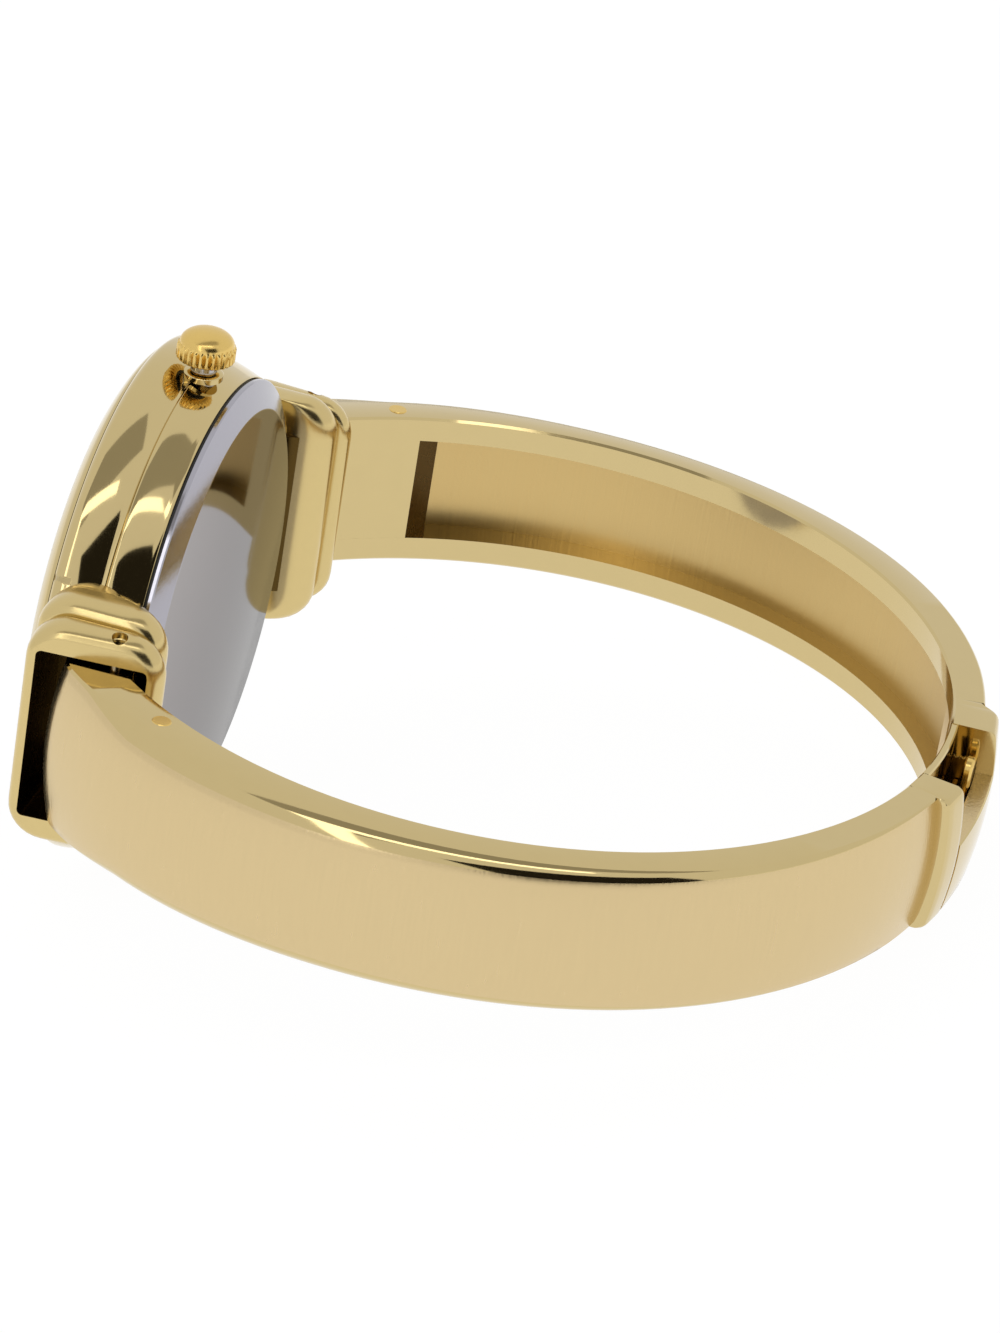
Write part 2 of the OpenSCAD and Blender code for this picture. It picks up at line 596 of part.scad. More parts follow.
// Plates, circuit, coil and battery.
screw_at = [[-5.2, 2.4], [3.6, 4.6], [5.6, -2.2]];
board_posts = [[0.8, -7.8], [6.2, -5.2]];
module main_plate() color(brass) head() difference() {
    union() {
        disc(movement_r, plate_z0, plate_z1);
        for (p = screw_at) translate(p) disc(0.7, bridge_z1, plate_z1);
        for (p = board_posts) translate(p) disc(0.5, board_z + board_t, plate_z1);
        translate([pinion_x + 2.05, -1.2, bridge_z1]) cube([0.5, 2.4, plate_z1 - bridge_z1]);
        translate(minute_at) disc(post_r, plate_z1 - 0.1, motion_z + 0.5);
        translate([battery_at.x, battery_at.y, 0]) ring(battery_r - 0.6, battery_r, battery_z1, plate_z0 + 0.1);
    }
    for (p = screw_at) translate(p) disc(0.32, bridge_z1 - 1, screw_end + 0.05);
    for (p = [intermediate_at, rotor_at]) translate(p) disc(0.12, plate_z0 - 1, plate_z1 + 1);
    disc(arbor_r + run_gap, plate_z0 - 1, plate_z1 + 1);
    disc(31 * train_module + 0.2, train_z - 0.3, plate_z0);
    translate([setting_x, 0, 0]) disc(0.4 + run_gap, plate_z0 - 1, plate_z1 + 1);
    translate([0, 0, stem_z]) rod_x(stem_r + run_gap, 0, movement_r);
}
module train_bridge() color(steel) head() difference() {
    translate([0, 0, bridge_z0]) linear_extrude(bridge_z1 - bridge_z0) difference() {
        polygon([[-6.8, 1], [-5.6, 5.2], [-2.4, 6.3], [3.4, 6.2], [8.4, 2.4], [8.4, -2.9], [3, -3],
            [1.2, -1.6], [-1.6, 1]]);
        translate(battery_at) circle(battery_r + 0.2);
    }
    for (p = screw_at) translate(p) disc(0.32, bridge_z0 - 1, bridge_z1 + 1);
    for (p = [intermediate_at, rotor_at]) translate(p) disc(0.12, bridge_z0 - 1, bridge_z1 + 1);
    disc(arbor_r + run_gap, bridge_z0 - 1, bridge_z1 + 1);
}
module movement_screws() color(steel) head() for (p = screw_at) translate(p) {
    disc(0.55, bridge_z0 - 0.25, bridge_z0 - 0.01);
    disc(0.3, bridge_z0 - 0.1, screw_end);
}
module circuit_board() color([0.12, 0.35, 0.2]) head() {
    translate([0, 0, board_z]) linear_extrude(board_t) difference() {
        intersection() {
            circle(movement_r - 0.1);
            translate([-4, -10]) square([14, 6.6]);
        }
        translate(battery_at) circle(battery_r + 0.2);
    }
    translate([2.4, -7.9, board_z + board_t]) cube([1.6, 1.6, 0.5]);
}
module quartz_crystal() color(steel) head() translate([0, -4.8, board_z + board_t + 0.67]) {
    rod_x(0.65, 0, 5.2);
    rod_x(0.5, -0.3, 0.1);
}
module coil() color([0.72, 0.4, 0.2]) head() translate([0, 7.35, 0]) {
    translate([0, 0, stator_z - 0.55]) rod_x(0.72, -3.6, 3.2);
    for (x = [-3.8, 3.1]) translate([0, 0, stator_z - 0.55]) rod_x(0.78, x, x + 0.25);
    translate([-4.6, -0.25, stator_z - 0.3]) cube([8.8, 0.5, 0.28]);
}
module stator() color(steel) head() translate([0, 0, stator_z]) linear_extrude(0.3) difference() {
    polygon([[-4.7, 4.7], [-3.9, 4.6], [1, 4.6], [1, 5.6], [4.3, 5.6], [4.3, 7.6], [3.5, 7.6], [3.5, 6.45],
        [-3.9, 6.45], [-3.9, 7.6], [-4.7, 7.6]]);
    translate(rotor_at) circle(0.78);
}
module battery() color(steel) head() translate(battery_at) {
    disc(battery_r, battery_z0 + 0.5, battery_z1);
    disc(battery_r - 0.5, battery_z0, battery_z1);
}
module battery_clamp() color(brass) head() {
    translate([battery_at.x - 0.5, battery_at.y - battery_r + 0.4, clamp_z])
        cube([1, battery_r - 0.4 + 4.3, clamp_t]);
    translate([battery_at.x - 0.5, battery_at.y + 3.8, clamp_z]) cube([1, 0.5, bridge_z0 - clamp_z]);
}
module movement_holder() color([0.85, 0.85, 0.82]) head() difference() {
    ring(movement_r + 0.1, case_bore_r - 0.15, back_seat + snap_depth + 0.1, dial_z - 0.05);
    translate([0, 0, stem_z]) rod_x(stem_r + 0.15, 0, case_bore_r);
}

// Cuff arms: a shell with a hollow inner side, a hinge block in its end, and their pins.
module arc_ring(a0, a1, r0, r1) rotate([0, 0, a0]) rotate_extrude(angle = a1 - a0)
    translate([r0, -rib_half]) square([r1 - r0, 2 * rib_half]);
module pin_disc(r) at_pin() translate([0, 0, -rib_half]) cylinder(r = r, h = 2 * rib_half);
module arm_holes(gap) {
    pin_disc(hinge_pin_r + run_gap);
    at_block_pin() translate([0, 0, -rib_half]) cylinder(r = block_pin_r + gap, h = 2 * rib_half);
}
module arm_shell(start_angle) color(gold) difference() {
    intersection() {
        union() {
            difference() {
                union() {
                    band(start_angle, pin_angle + nose_lap, bangle_r, arm_arch_r);
                    at_pin() rotate_extrude() intersection() {
                        arched(nose_r, arm_arch_r);
                        translate([0, -rib_half]) square([nose_r + 1, 2 * rib_half]);
                    }
                }
                inner_cut();
            }
            pin_disc(knuckle_r);
        }
        width_wedge(0);
    }
    intersection() {
        union() {
            arc_ring(hollow_start_angle, pin_angle, inner_r - 3, hollow_r);
            pin_disc(nose_r - arm_wall);
        }
        width_wedge(lip_h);
    }
    arm_holes(seat_gap);
}
module hinge_block() color(gold) difference() {
    intersection() {
        union() {
            difference() {
                union() {
                    arc_ring(hollow_end_angle, pin_angle, inner_r - 3, hollow_r - seat_gap);
                    pin_disc(nose_r - arm_wall - 3 * seat_gap);
                }
                inner_cut();
            }
            pin_disc(knuckle_r);
        }
        width_wedge(lip_h + seat_gap);
    }
    arm_holes(seat_gap);
}
module hinge_pin() color(deep_gold) at_pin() translate([0, 0, pin_recess - hood_half])
    cylinder(r = hinge_pin_r, h = 2 * (hood_half - pin_recess));
module block_pin() color(deep_gold) at_block_pin() translate([0, 0, -block_pin_half])
    cylinder(r = block_pin_r, h = 2 * block_pin_half);
module arm_twelve() rest() arm_shell(housing_angle + end_seat);
module arm_six() rest() mirror([0, 1, 0]) arm_shell(end_piece_angle + end_seat);
module hinge_block_twelve() rest() hinge_block();
module hinge_block_six() rest() mirror([0, 1, 0]) hinge_block();
module hinge_pin_twelve() rest() hinge_pin();
module hinge_pin_six() rest() mirror([0, 1, 0]) hinge_pin();
module block_pin_twelve() rest() block_pin();
module block_pin_six() rest() mirror([0, 1, 0]) block_pin();

// Clasp: a housing on the 12 o'clock arm and a folded spring tongue on the 6 o'clock arm.
module clasp_band(a0, a1) intersection() {
    difference() {
        band(a0, a1, clasp_r, clasp_arch_r);
        inner_cut();
    }
    width_wedge(0);
}
module rivet_rods(r, x1) for (z = [-1.5, -0.1]) translate([0, rivet_y, z]) rod_x(r, rivet_x0, x1);
module tongue_box(gap, y0, y1) translate([leaf_x - gap, y0, -tongue_half - gap])
    cube([leaf_t + 2 * gap, y1 - y0, tongue_half + tongue_top + 2 * gap]);
module clasp_end_piece() color(gold) rest() difference() {
    clasp_band(-end_piece_angle, -parting_angle - parting_turn);
    tongue_box(seat_gap, -tongue_root - seat_gap, 0);
    rivet_rods(rivet_r + seat_gap, leaf_x + leaf_t + 0.4);
}
module tongue_rivets() color(gold) rest() rivet_rods(rivet_r, leaf_x + leaf_t + 0.3);
module clasp_tongue() color(deep_gold) rest() difference() {
    union() {
        tongue_box(0, -tongue_root, tongue_reach);
        translate([leaf_x, -fold_place, -tongue_half])
            cube([2 * leaf_t + run_gap, foot_len, tongue_half + tongue_top]);
    }
    rivet_rods(rivet_r + seat_gap, leaf_x + leaf_t + 1);
}
module thumb_spring() color(deep_gold) rest() {
    translate([bend_x, -fold_place, -tongue_half]) intersection() {
        ring(bend_r, bend_r + leaf_t, 0, tongue_half + tongue_top);
        translate([-2, -2 - run_gap, -1]) cube([4, 2, rib_half]);
    }
    translate([spring_x, -fold_place - run_gap, -tongue_half])
        cube([leaf_t, fold_place + tongue_reach + run_gap, tongue_half + tongue_top]);
    translate([spring_x, tongue_reach - tab_w, 0]) cube([leaf_t, tab_w, tab_z - tab_w / 2]);
    translate([spring_x, tongue_reach - tab_w / 2, tab_z - tab_w / 2]) rod_x(tab_w / 2, 0, leaf_t);
}
module clasp_housing() color(gold) rest() difference() {
    clasp_band(-parting_angle, housing_angle);
    intersection() {
        arc_ring(-parting_angle - 5, shoulder_angle, inner_r + inner_shift + inner_skin, clasp_r + 2);
        translate([0, -bangle_r / 2, notch_z]) cube([clasp_r + 10, bangle_r, rib_half]);
    }
    translate([leaf_x - tongue_lean_gap, -tongue_root, -tongue_half - tongue_gap])
        cube([spring_x + leaf_t + tongue_gap - leaf_x + tongue_lean_gap,
            tongue_root + tongue_reach + tongue_gap, tongue_half + tongue_top + 2 * tongue_gap]);
    translate([leaf_x + leaf_t, -tongue_root, 0])
        cube([spring_x + tongue_gap - leaf_x, tongue_root + tongue_reach + tongue_gap, rib_half]);
}

case_middle();
bezel();
crystal();
crystal_seal_ring();
case_back();
back_seal_ring();
crown_tube();
movement_holder();
dial();
hour_marks();
main_plate();
train_bridge();
circuit_board();
quartz_crystal();
coil();
stator();
battery();
battery_clamp();
movement_screws();
rotor();
intermediate_wheel();
centre_wheel();
cannon_pinion();
minute_hand();
minute_wheel();
hour_wheel();
hour_hand();
setting_wheel();
yoke();
sliding_pinion();
stem_detent();
stem();
crown();
crown_seal();
hinge_pin_six();
hinge_pin_twelve();
arm_six();
arm_twelve();
hinge_block_six();
hinge_block_twelve();
block_pin_six();
block_pin_twelve();
clasp_end_piece();
clasp_tongue();
tongue_rivets();
thumb_spring();
clasp_housing();
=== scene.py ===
import bpy
import bmesh
import json
import math
from mathutils import Matrix, Vector


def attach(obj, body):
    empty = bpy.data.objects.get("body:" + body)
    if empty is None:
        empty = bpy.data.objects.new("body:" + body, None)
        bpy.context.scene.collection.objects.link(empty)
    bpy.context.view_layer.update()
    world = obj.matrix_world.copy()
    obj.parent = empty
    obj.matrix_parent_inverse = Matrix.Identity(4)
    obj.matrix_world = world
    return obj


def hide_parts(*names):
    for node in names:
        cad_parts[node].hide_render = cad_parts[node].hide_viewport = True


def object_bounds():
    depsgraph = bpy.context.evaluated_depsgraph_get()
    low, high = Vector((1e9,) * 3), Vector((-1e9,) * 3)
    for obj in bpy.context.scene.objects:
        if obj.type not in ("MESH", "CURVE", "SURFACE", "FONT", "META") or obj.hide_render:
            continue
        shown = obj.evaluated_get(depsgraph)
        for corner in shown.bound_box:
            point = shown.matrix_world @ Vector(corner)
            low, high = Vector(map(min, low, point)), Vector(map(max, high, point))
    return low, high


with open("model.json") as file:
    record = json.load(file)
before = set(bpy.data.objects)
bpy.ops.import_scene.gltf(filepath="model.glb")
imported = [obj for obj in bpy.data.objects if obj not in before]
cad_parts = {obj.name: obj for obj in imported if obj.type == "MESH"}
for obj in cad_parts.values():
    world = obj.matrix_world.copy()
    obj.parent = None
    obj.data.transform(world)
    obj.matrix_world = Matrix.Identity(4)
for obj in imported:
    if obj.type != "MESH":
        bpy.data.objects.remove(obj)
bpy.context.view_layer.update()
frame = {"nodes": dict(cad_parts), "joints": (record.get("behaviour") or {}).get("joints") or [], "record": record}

# Millimetres in the script, metres in the scene
MM = 0.001

# Edges of a piece are sharp above this angle, where the piece states no other
SHARP_ANGLE = 35

# The cuff's own frame has its zero in the middle of the cuff, X from the case to the clasp, Y to 12 o'clock
# and Z along the crown. The head's frame has Z out of the dial, X to the crown and Y to 12 o'clock.

# Levels of the head, on its Z, from the steel back to the bezel
BACK_FLAT = 17.2269
BACK_EDGE = BACK_FLAT + 1.12
STEM_Z = BACK_FLAT + 2.93
CASE_LINE = BACK_EDGE + 2.25
CASE_BELLY = CASE_LINE + 2.4
CASE_FRONT = CASE_BELLY + 0.6
BEZEL_FRONT = CASE_FRONT + 1
DIAL_SEAT = 22.64
HOOD_TOP = 22.45

# Half angle of each banded side of the case, and radii of the head
SIDE_HALF_ANGLE = 65
CASE_R = 15.75
CASE_ARC_R = 4.215
CASE_LINE_R = 14.95
CASE_WALL_R = 14.6
BAND_INNER_R = 14.5
BACK_BORE_R = 13.05
DIAL_BORE_R = 12.2
BACK_R = 14.25
BACK_FLAT_R = 12.6
BACK_SNAP_R = 13
BEZEL_BORE_R = 13.35
CRYSTAL_R = 13.1
CROWN_R = 1.75
CROWN_BORE_R = 1.05
CROWN_FOOT = 16.1266
TUBE_R = 0.79
TUBE_BORE_R = 0.5
TUBE_FOOT = 13.3
COLLAR_R = 1.2
COLLAR_FOOT = 15.0

# Hinge pins and the cross-pins of the hinge blocks
PIN_DEPTH = BACK_FLAT + 0.66
PIN_Y = 18.44
PIN_ANGLE = math.degrees(math.atan2(PIN_Y, -PIN_DEPTH))
PIN_RADIUS = math.hypot(PIN_DEPTH, PIN_Y)
PIN_HOLE_R = 0.46
PIN_RECESS = 0.45
KNUCKLE_R = 1.1
CROSS_PIN_R = 0.6
CROSS_PIN_ANGLE = 120.5
CROSS_PIN_RADIUS = 26.79

# Arms, and the hinge blocks in their ends
ARM_R = 29.15
ARM_ARCH = 20
HALF_LUG = 5.15
HALF_CLASP = 4.25
LUG_END_X = -21.347
CLASP_EDGE_X = 29.386
INNER_R = 25.9926
INNER_SHIFT = 0.7074
HOLLOW_R = 27.75
HOLLOW_START = 16
LIP = 1.55
BLOCK_R = HOLLOW_R - 0.02
BLOCK_NOSE_R = 2.04
BLOCK_ANGLE = 117.4
BLOCK_FLOOR_ANGLE = 113.9

# Clasp: angles from the middle of the cuff, and sizes of the notch, the slot and the tongue
CLASP_R = 29.8
CLASP_ARCH = 22
CLASP_BEVEL = (0.5, 0.3, -0.07)
PARTING = 10
SHOULDER = 4.75
HOUSING_FADE = 9.5
HOUSING_END = 12
END_PIECE_START = 14.5
NOTCH_Z = 1.5
NOTCH_SLOPE = 0.06
NOTCH_MIDDLE_R = 29
SKIN_R = 27.15
SLOT_R = 28.66
SLOT_LOW = -2.5
LEDGE_X = 27.1
LEDGE_Y = 2.12
LEDGE_Z = 2.2
LEDGE_TEETH = 14
LEDGE_PITCH = 0.07
SPRING_X = 28.21
SPRING_LOW = -2.3
SPRING_HIGH = 0.9
LEAF_T = 0.25
FOLD_Y = -4.2
TONGUE_REACH = 2
TAB_W = 1.6
TAB_FOOT = 0.2
TAB_TOP = 2.95


def joint(name):
    return next(j for j in frame["joints"] if j["name"] == name)


def cuff_to_row():
    """The cuff's own frame in the row frame, from the joints."""
    up = Vector(joint("crown_pull")["axis"]).normalized()
    lean = Matrix.Rotation(math.atan2(up.x, up.z), 4, "Y")
    pin = Vector(joint("arm_six_swing")["pos_m"])
    return Matrix.Translation(pin - lean @ Vector((-PIN_DEPTH, -PIN_Y, 0)) * MM) @ lean


CUFF = cuff_to_row()


def spread(start, end, steps):
    return [start + (end - start) * i / steps for i in range(steps + 1)]


def clamp(value, low=0, high=1):
    return min(max(value, low), high)


def cos(angle):
    return math.cos(math.radians(angle))


def sin(angle):
    return math.sin(math.radians(angle))


def from_head(x, y, z):
    return (-z, y, x)


def on_circle(radius, angle):
    return (radius * cos(angle), radius * sin(angle))


# Materials
def metal(name, color, rough, scale=900, stretch=(1, 1, 1), bump=0.0, tint=0.0, edge=1.0):
    """A metal whose roughness, and slightly its colour, follow fine noise, which may be drawn out into
    brushing. edge dims what it reflects at a glancing angle."""
    m = bpy.data.materials.new(name)
    m.use_nodes = True
    nodes, links = m.node_tree.nodes, m.node_tree.links
    shader = nodes["Principled BSDF"]
    place = nodes.new("ShaderNodeTexCoord")
    mapping = nodes.new("ShaderNodeMapping")
    mapping.inputs["Scale"].default_value = [scale * s for s in stretch]
    noise = nodes.new("ShaderNodeTexNoise")
    noise.inputs["Scale"].default_value = 1
    span = nodes.new("ShaderNodeMapRange")
    span.inputs["To Min"].default_value = rough[0]
    span.inputs["To Max"].default_value = rough[1]
    mix = nodes.new("ShaderNodeMix")
    mix.data_type = "RGBA"
    mix.inputs["A"].default_value = (*[c * (1 - tint) for c in color], 1)
    mix.inputs["B"].default_value = (*color, 1)
    links.new(place.outputs["Object"], mapping.inputs["Vector"])
    links.new(mapping.outputs["Vector"], noise.inputs["Vector"])
    links.new(noise.outputs["Fac"], span.inputs["Value"])
    links.new(span.outputs["Result"], shader.inputs["Roughness"])
    links.new(noise.outputs["Fac"], mix.inputs["Factor"])
    links.new(mix.outputs["Result"], shader.inputs["Base Color"])
    shader.inputs["Metallic"].default_value = 1
    shader.inputs["Specular Tint"].default_value = (edge, edge, edge, 1)
    if bump:
        lift = nodes.new("ShaderNodeBump")
        lift.inputs["Strength"].default_value = bump
        lift.inputs["Distance"].default_value = 0.00002
        links.new(noise.outputs["Fac"], lift.inputs["Height"])
        links.new(lift.outputs["Normal"], shader.inputs["Normal"])
    return m


def brushed(name, color, rough, tint):
    """A satin gold, with fine noise drawn out along the crown's axis."""
    return metal(name, color, rough, scale=6000, stretch=(1, 1, 0.04), bump=0.5, tint=tint)


def plain(name, color, rough, transmission=0.0):
    """A material that is not a metal: plastic, paint, rubber or glass."""
    m = metal(name, color, rough, tint=0.1)
    shader = m.node_tree.nodes["Principled BSDF"]
    shader.inputs["Metallic"].default_value = 0
    shader.inputs["Transmission Weight"].default_value = transmission
    return m


gold = metal("gold", (0.64, 0.505, 0.245), (0.05, 0.10), bump=0.05, tint=0.03)
cast_gold = metal("gold_cast", (0.68, 0.53, 0.24), (0.17, 0.25), scale=1500, bump=0.1, tint=0.05)
satin = brushed("gold_satin", (0.70, 0.545, 0.295), (0.2, 0.3), 0.06)
# Rougher satin for the floor of the arms' hollow; its darker, more orange colour is painted shade and painted
# reflection of the gold walls
shaded_hollow_satin = brushed("gold_hollow_painted_shade", (0.68, 0.49, 0.205), (0.3, 0.42), 0.08)
deep_gold = metal("gold_deep", (0.80, 0.56, 0.18), (0.18, 0.26), bump=0.05, tint=0.06)
# Near-black gold for the lug pockets and the hinge blocks' end walls: painted shade in these recesses
painted_shade_gold = metal("gold_painted_shade", (0.10, 0.06, 0.015), (0.2, 0.35), bump=0.1, tint=0.2)
# Dark brown gold for the ledge's sides and ends in the clasp's slot: painted shade
shaded_gold = metal("gold_shaded", (0.34, 0.19, 0.035), (0.25, 0.4), bump=0.2, tint=0.2)
steel = metal("steel", (0.48, 0.455, 0.45), (0.05, 0.09), tint=0.02, edge=0.52)
steel_ring = metal("steel_ring", (0.43, 0.42, 0.465), (0.10, 0.18), scale=3000, bump=0.1, tint=0.05,
                   edge=0.9)
brass = metal("brass", (0.70, 0.53, 0.26), (0.25, 0.4), scale=4000, bump=0.2, tint=0.1)
copper = metal("copper", (0.75, 0.33, 0.16), (0.2, 0.35), scale=9000, stretch=(0.05, 1, 1), bump=0.6,
               tint=0.3)
dial_paint = metal("dial", (0.82, 0.78, 0.68), (0.25, 0.35), scale=5000, bump=0.1, tint=0.04)
black = plain("black_rubber", (0.02, 0.02, 0.02), (0.45, 0.6))
plastic = plain("holder_plastic", (0.55, 0.54, 0.5), (0.45, 0.6))
board = plain("board_green", (0.03, 0.16, 0.07), (0.35, 0.5))
glass = plain("glass", (0.97, 0.98, 1.0), (0.0, 0.02), 1.0)

SLOT_MATERIAL = {
    "gold_case": gold, "gold_satin": satin, "gold_deep": deep_gold, "steel_back": steel,
    "steel_pin": steel_ring, "brass_movement": brass, "crystal_glass": glass, "black_seal": black,
    "holder_plastic": plastic, "board_green": board, "coil_copper": copper,
    "dial_face": dial_paint, "gold_marks": gold}


def dress_nodes():
    """Gives each solid of the frame the material of its slot."""
    for part in frame["record"]["subparts"]:
        node = frame["nodes"][part["node"]]
        node.data.materials.clear()
        node.data.materials.append(SLOT_MATERIAL[part["material_slot"]])


class Shape:
    """Points in millimetres, faces, and the number of each face's material."""

    def __init__(self):
        self.points, self.faces, self.kinds = [], [], []

    def loft(self, rings, kinds=None, caps=(0, 0)):
        """Joins equal closed rings. kinds gives the material for a ring and a strip, caps that of each end
        or None."""
        first, count = len(self.points), len(rings[0])
        for ring in rings:
            self.points += ring
        for k in range(len(rings) - 1):
            for i in range(count):
                a, j = first + k * count, (i + 1) % count
                self.faces.append((a + i, a + j, a + count + j, a + count + i))
                self.kinds.append(kinds(k, i) if kinds else 0)
        last = first + (len(rings) - 1) * count
        for start, cap in ((first, caps[0]), (last, caps[1])):
            if cap is not None:
                self.faces.append(tuple(range(start, start + count)))
                self.kinds.append(cap)

    def turn(self, profile, start=0, end=360, steps=192, kinds=None):
        """Turns a profile of (radius, level) about the head's Z."""
        full = end - start == 360
        rings = [[from_head(*on_circle(r, a), z) for r, z in profile] for a in spread(start, end, steps)]
        self.loft(rings, kinds, (None, None) if full else (0, 0))

    def mesh(self, name):
        mesh = bpy.data.meshes.new(name)
        mesh.from_pydata([Vector(p) * MM for p in self.points], [], self.faces)
        return mesh


def place_object(name, mesh):
    obj = bpy.data.objects.new(name, mesh)
    bpy.context.scene.collection.objects.link(obj)
    obj.matrix_world = CUFF
    return obj


def add_piece(name, shape, body, nodes, materials, angle=SHARP_ANGLE):
    """A visible piece that rides on a body, replaces nodes and has sharp edges above an angle."""
    mesh = shape.mesh(name)
    for m in materials:
        mesh.materials.append(m)
    mesh.polygons.foreach_set("material_index", shape.kinds)
    work = bmesh.new()
    work.from_mesh(mesh)
    bmesh.ops.remove_doubles(work, verts=work.verts, dist=1e-7)
    bmesh.ops.dissolve_degenerate(work, edges=work.edges, dist=1e-8)
    bmesh.ops.recalc_face_normals(work, faces=work.faces)
    work.to_mesh(mesh)
    work.free()
    mesh.polygons.foreach_set("use_smooth", [True] * len(mesh.polygons))
    mesh.set_sharp_from_angle(angle=math.radians(angle))
    obj = place_object(name, mesh)
    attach(obj, body)
    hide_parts(*nodes)
    return obj


def drill(obj, holes):
    """Cuts holes, given by shapes, out of a piece."""
    for hole in holes:
        cutter = place_object("hole", hole.mesh("hole"))
        cut = obj.modifiers.new("cut", "BOOLEAN")
        cut.operation, cut.solver, cut.object = "DIFFERENCE", "EXACT", cutter
        bpy.context.view_layer.update()
        done = bpy.data.meshes.new_from_object(obj.evaluated_get(bpy.context.evaluated_depsgraph_get()))
        obj.modifiers.clear()
        obj.data = done
        bpy.data.objects.remove(cutter)
    obj.data.set_sharp_from_angle(angle=math.radians(SHARP_ANGLE))


def drum(shape, centre, radius, low, high, bevel=0.05):
    """Adds an upright round pin with bevelled ends."""
    rows = ((radius - bevel, low), (radius, low + bevel), (radius, high - bevel), (radius - bevel, high))
    turns = spread(0, 360, 40)[:-1]
    rings = [[(centre[0] + r * cos(a), centre[1] + r * sin(a), z) for a in turns] for r, z in rows]
    shape.loft(rings)


# Case: an inner ring and the banded outside
def band_profile():
    """Outside of the case, as (radius, level) from the back edge to the front."""
    foot, lean = BACK_EDGE + 0.2, 0.59
    profile = [(BACK_R, BACK_EDGE), (BACK_R + 0.03, BACK_EDGE), (CASE_LINE_R - lean - 0.03, foot - 0.14),
               (CASE_LINE_R - lean, foot)]
    profile += [(CASE_LINE_R - lean * (1 - t) ** 1.25, foot + 1.9 * t) for t in spread(0.1, 1, 9)]
    profile += [(CASE_LINE_R - 0.01, CASE_LINE - 0.06), (CASE_LINE_R - 0.05, CASE_LINE),
                (CASE_LINE_R, CASE_LINE + 0.05)]
    profile += [(CASE_R - CASE_ARC_R + math.sqrt(CASE_ARC_R ** 2 - (z - CASE_BELLY) ** 2), z)
                for z in spread(CASE_LINE + 0.12, CASE_BELLY, 14)]
    rounding = ((0.04, 0.163), (0.15, 0.313), (0.3, 0.443), (0.45, 0.543), (0.6, 0.6))
    profile += [(CASE_R - inwards, CASE_BELLY + up) for inwards, up in rounding]
    return profile + [(BAND_INNER_R, CASE_FRONT)]


def band_above(level):
    """The part of the case's outside above a level, where the lugs cover the rest."""
    kept = [p for p in band_profile() if p[1] > level]
    return [(BAND_INNER_R, level), (kept[0][0], level)] + kept


def case_shape():
    shape = Shape()
    shape.turn([(BACK_BORE_R, BACK_EDGE), (BACK_R, BACK_EDGE), (CASE_WALL_R, BACK_EDGE + 1.8),
                (CASE_WALL_R, CASE_FRONT), (DIAL_BORE_R, CASE_FRONT), (DIAL_BORE_R, DIAL_SEAT),
                (BACK_BORE_R, DIAL_SEAT)])
    for middle in (0, 180):
        side_end = middle + SIDE_HALF_ANGLE
        shape.turn(band_profile(), middle - SIDE_HALF_ANGLE, side_end, 2 * SIDE_HALF_ANGLE)
        shape.turn(band_above(HOOD_TOP), side_end - 2, side_end + 52, 54)
    return shape


# Lugs: a rounded rib against the case, and before it a hood with a pocket for the arm's nose
RIB_HALF, RIB_WRIST, RIB_DIAL = 7.65, BACK_FLAT - 1.64, CASE_FRONT - 0.21
HOOD_HALF, HOOD_WRIST, HOOD_DIAL = 7.0, BACK_FLAT - 2.14, CASE_FRONT - 0.4
POCKET_HALF, POCKET_WRIST, POCKET_DIAL = 5.35, BACK_FLAT - 1.34, CASE_FRONT - 1.25
POCKET_ROUND = 0.35
MOUTH_Y, MOUTH_SLANT, LUG_MIDDLE = 19.2, 0.0922, 19.14
LUG_ROUND = 2.3
CORNER_STEPS, EDGE_POINTS = 8, 5

# The rib's rows stay outside a circle round the case, which grows from row to row
RIB_FOOT_R, RIB_FOOT_STEP = 14.3, 0.03

# Rows of the rib: y, wrist-side level and inset
RIB_ROWS = (
    (13.5, 18.4, 0.45), (14.0, 18.4, 0.28), (14.6, 18.4, 0.12), (15.0, 18.4, 0.06), (15.02, 17.2, 0.06),
    (15.07, 16.8, 0.05), (15.17, 16.45, 0.04), (15.33, 16.15, 0.03), (15.52, 15.93, 0.02), (15.75, 15.76, 0),
    (16.0, 15.66, 0), (16.25, 15.61, 0.01), (16.5, RIB_WRIST, 0.05), (16.75, RIB_WRIST, 0.12),
    (16.95, RIB_WRIST, 0.22), (17.12, RIB_WRIST, 0.36), (17.25, RIB_WRIST, 0.56), (17.3, RIB_WRIST, 0.75))

# Rows of the hood: y, inset and share of the mouth's slant
HOOD_ROWS = (
    (17.3, 0.42, 0), (17.38, 0.22, 0), (17.6, 0.06, 0), (17.9, 0, 0), (18.3, 0.04, 0.4), (18.6, 0.11, 0.7),
    (18.85, 0.22, 0.9), (19.03, 0.38, 1), (19.14, 0.55, 1), (MOUTH_Y, 0.78, 1))

# The y of the pocket's floor above a level: shallow on the wrist side, where the rib is rounded
POCKET_FLOORS = ((18, 14.75), (17, 15.2), (0, 16.4))


def box_ring(half, low, high, radius):
    """Rounded rectangle in the head's X and Z, with points along its edges."""
    corners = ((half, high, 0, -1, -1), (-half, high, 90, 1, -1), (-half, low, 180, 1, 1),
               (half, low, 270, -1, 1))
    arcs = [[(x + sx * radius + radius * cos(a), z + sz * radius + radius * sin(a))
             for a in spread(start, start + 90, CORNER_STEPS)] for x, z, start, sx, sz in corners]
    points = []
    for k, arc in enumerate(arcs):
        points += arc
        (x0, z0), (x1, z1) = arc[-1], arcs[(k + 1) % 4][0]
        points += [(x0 + (x1 - x0) * t, z0 + (z1 - z0) * t) for t in spread(0, 1, EDGE_POINTS + 1)[1:-1]]
    return points


